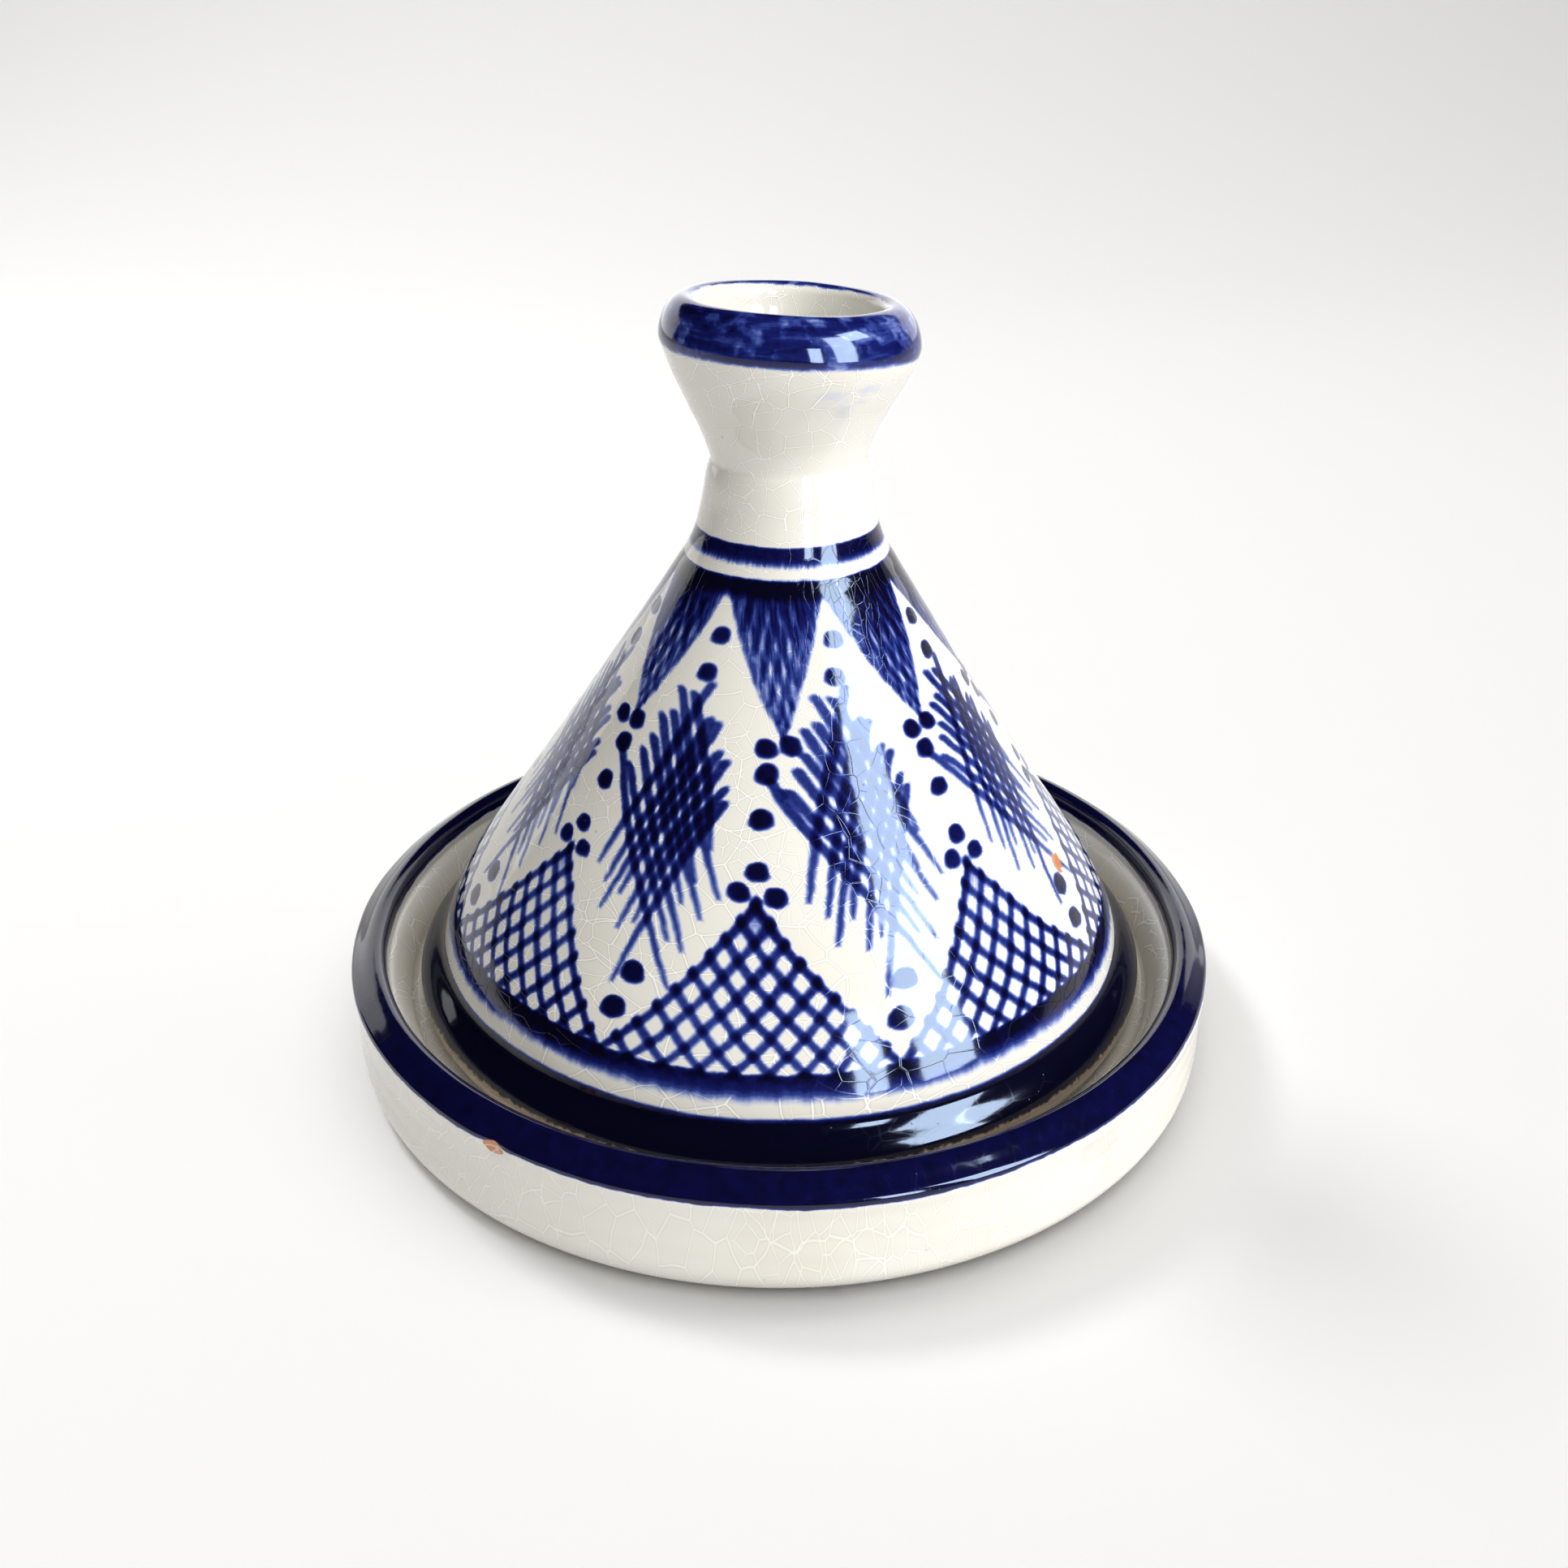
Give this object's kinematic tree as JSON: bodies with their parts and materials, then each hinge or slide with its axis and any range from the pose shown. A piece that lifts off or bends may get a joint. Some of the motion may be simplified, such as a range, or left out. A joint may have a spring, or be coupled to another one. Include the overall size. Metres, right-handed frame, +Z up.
{
  "type": "tagine pot",
  "caption": "Glazed earthenware tagine pot: a shallow round dish with an inner ledge, and a conical lid with a cup-shaped knob that lifts off it.",
  "frame": {"origin": "on the table, at the centre of the dish's foot ring", "axes": "+Z up along the axis that the pot was turned about; +X and +Y lie in the table plane, and -Y is the side that faces the viewer"},
  "size_m": [0.15, 0.15, 0.125],
  "materials": {
    "base_dish_glaze": "gloss",
    "lid_glaze": "gloss"
  },
  "bodies": {
    "dish": {"base_dish": "base_dish_glaze"},
    "lid": {"lid": "lid_glaze"}
  },
  "joints": [
    {"name": "lid_lift", "type": "slide", "parent": "dish", "child": "lid", "axis": [0, 0, 1], "range_m": [0, 0.15]}
  ]
}
